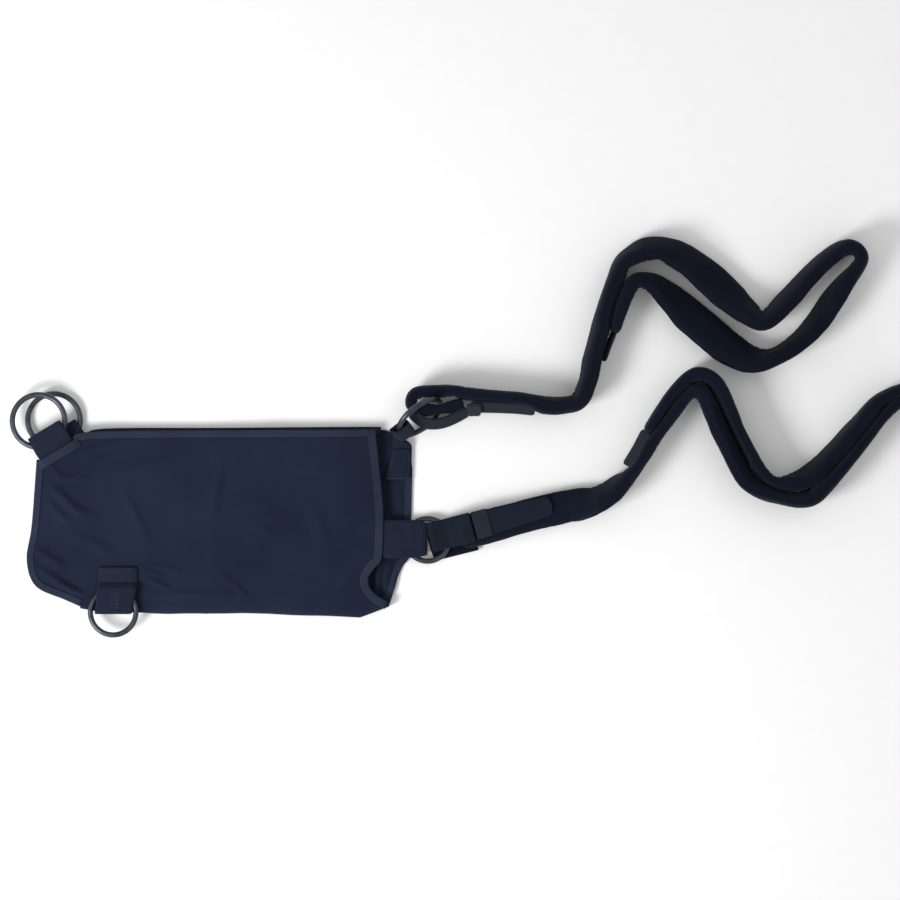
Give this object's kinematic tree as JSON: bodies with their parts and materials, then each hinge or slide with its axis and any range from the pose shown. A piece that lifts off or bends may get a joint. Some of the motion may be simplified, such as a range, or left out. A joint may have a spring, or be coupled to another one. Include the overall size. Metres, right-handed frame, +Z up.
{
  "type": "padded strap ring harness",
  "caption": "Folded twill sheet with metal rings in webbing tabs and two long padded strap loops closed round two of the rings with hook-and-loop tabs.",
  "frame": {"origin": "centre of the bounding box at the surface that the harness lies on", "axes": "+X along the harness from the ringed corner to the strap loops, +Z up out of the surface"},
  "size_m": [0.907, 0.4009, 0.0516],
  "materials": {
    "twill": "matte dark navy twill",
    "binding": "matte folded hem of the same twill, stitched",
    "webbing": "flat woven webbing, slightly smoother than the twill",
    "ring_metal": "dark gunmetal, satin",
    "sleeve_knit": "near-black navy knitted cover, matte",
    "foam": "soft closed foam",
    "hook_tape": "blue-grey hook-and-loop tape, fine nap"
  },
  "bodies": {
    "back_panel": {"back_leaf": "twill", "fold_strip": "twill", "back_left_hem": "binding", "back_top_hem": "binding", "back_right_hem": "binding", "back_corner_tab_end": "webbing", "upper_tab_end": "webbing"},
    "front_panel": {"front_leaf": "twill", "front_left_hem": "binding", "front_top_hem": "binding", "front_right_hem": "binding", "front_corner_tab_end": "webbing", "face_tab_end": "webbing", "lower_tab_end": "webbing"},
    "front_corner_tab": {"front_corner_tab": "webbing"},
    "front_corner_ring": {"front_corner_ring": "ring_metal"},
    "back_corner_tab": {"back_corner_tab": "webbing"},
    "back_corner_ring": {"back_corner_ring": "ring_metal"},
    "face_tab": {"face_tab": "webbing"},
    "face_ring": {"face_ring": "ring_metal"},
    "upper_tab": {"upper_tab": "webbing", "upper_tab_riser": "webbing"},
    "upper_ring": {"upper_ring": "ring_metal"},
    "lower_tab": {"lower_tab": "webbing"},
    "lower_ring": {"lower_ring": "ring_metal"},
    "upper_strap": {"upper_strap_sleeve": "sleeve_knit", "upper_strap_core": "foam", "upper_strap_end_pad": "sleeve_knit", "upper_strap_ring_tape": "webbing"},
    "upper_strap_ring_closure": {"upper_strap_ring_closure": "hook_tape"},
    "upper_strap_far_closure": {"upper_strap_far_closure": "hook_tape"},
    "lower_strap": {"lower_strap_sleeve": "sleeve_knit", "lower_strap_core": "foam", "lower_strap_ring_tape": "webbing", "lower_strap_loop_tape": "hook_tape"},
    "lower_strap_ring_closure": {"lower_strap_ring_closure": "hook_tape"},
    "lower_strap_far_closure": {"lower_strap_far_closure": "hook_tape"}
  },
  "joints": [
    {"name": "panel_fold", "type": "hinge", "parent": "back_panel", "child": "front_panel", "pos_m": [-0.24, -0.169, 0.0062], "axis": [1, 0, 0], "range_deg": [0, 150]},
    {"name": "front_corner_tab_flex", "type": "hinge", "parent": "front_panel", "child": "front_corner_tab", "pos_m": [-0.411, -0.01229, 0.0157], "axis": [0.8572, 0.515, 0], "range_deg": [0, 95]},
    {"name": "front_corner_ring_spin", "type": "hinge", "parent": "front_corner_tab", "child": "front_corner_ring", "pos_m": [-0.428, 0.016, 0.01725], "axis": [0, 0, 1], "continuous": true},
    {"name": "back_corner_tab_flex", "type": "hinge", "parent": "back_panel", "child": "back_corner_tab", "pos_m": [-0.3965, -0.01129, 0.0012], "axis": [0.8572, 0.515, 0], "range_deg": [-80, 0]},
    {"name": "back_corner_ring_spin", "type": "hinge", "parent": "back_corner_tab", "child": "back_corner_ring", "pos_m": [-0.4135, 0.017, 0.00575], "axis": [0, 0, 1], "continuous": true},
    {"name": "face_tab_flex", "type": "hinge", "parent": "front_panel", "child": "face_tab", "pos_m": [-0.3535, -0.1455, 0.0157], "axis": [-1, 0, 0], "range_deg": [0, 95]},
    {"name": "face_ring_spin", "type": "hinge", "parent": "face_tab", "child": "face_ring", "pos_m": [-0.3535, -0.175, 0.01725], "axis": [0, 0, 1], "continuous": true},
    {"name": "upper_tab_flex", "type": "hinge", "parent": "back_panel", "child": "upper_tab", "pos_m": [-0.069, -0.011, 0.0042], "axis": [1, 0, 0], "range_deg": [0, 90]},
    {"name": "upper_ring_spin", "type": "hinge", "parent": "upper_tab", "child": "upper_ring", "pos_m": [-0.047, 0.0195, 0.026], "axis": [0.558, -0.7142, 0.4226], "continuous": true},
    {"name": "lower_tab_flex", "type": "hinge", "parent": "front_panel", "child": "lower_tab", "pos_m": [-0.0845, -0.0988, 0.0127], "axis": [0, -1, 0], "range_deg": [0, 90]},
    {"name": "lower_ring_spin", "type": "hinge", "parent": "lower_tab", "child": "lower_ring", "pos_m": [-0.0395, -0.103, 0.00695], "axis": [0, 0, 1], "continuous": true},
    {"name": "upper_strap_swing", "type": "hinge", "parent": "upper_tab", "child": "upper_strap", "pos_m": [-0.047, 0.0195, 0.026], "axis": [0, 0, 1], "range_deg": [0, 12]},
    {"name": "upper_strap_ring_closure_peel", "type": "hinge", "parent": "upper_strap", "child": "upper_strap_ring_closure", "pos_m": [0.001, 0.0332, 0.0205], "axis": [0, 0, -1], "range_deg": [0, 95]},
    {"name": "upper_strap_far_closure_peel", "type": "hinge", "parent": "upper_strap", "child": "upper_strap_far_closure", "pos_m": [0.1466, 0.102, 0.017], "axis": [0, 0, 1], "range_deg": [0, 90]},
    {"name": "lower_strap_swing", "type": "hinge", "parent": "lower_tab", "child": "lower_strap", "pos_m": [-0.0395, -0.103, 0.00695], "axis": [0, 0, 1], "range_deg": [-12, 0]},
    {"name": "lower_strap_ring_closure_peel", "type": "hinge", "parent": "lower_strap", "child": "lower_strap_ring_closure", "pos_m": [0.00695, -0.08886, 0.0189], "axis": [0.2588, -0.9659, 0], "range_deg": [0, 120]},
    {"name": "lower_strap_far_closure_peel", "type": "hinge", "parent": "lower_strap", "child": "lower_strap_far_closure", "pos_m": [0.1765, 0.0015, 0.017], "axis": [0, 0, -1], "range_deg": [0, 90]}
  ]
}
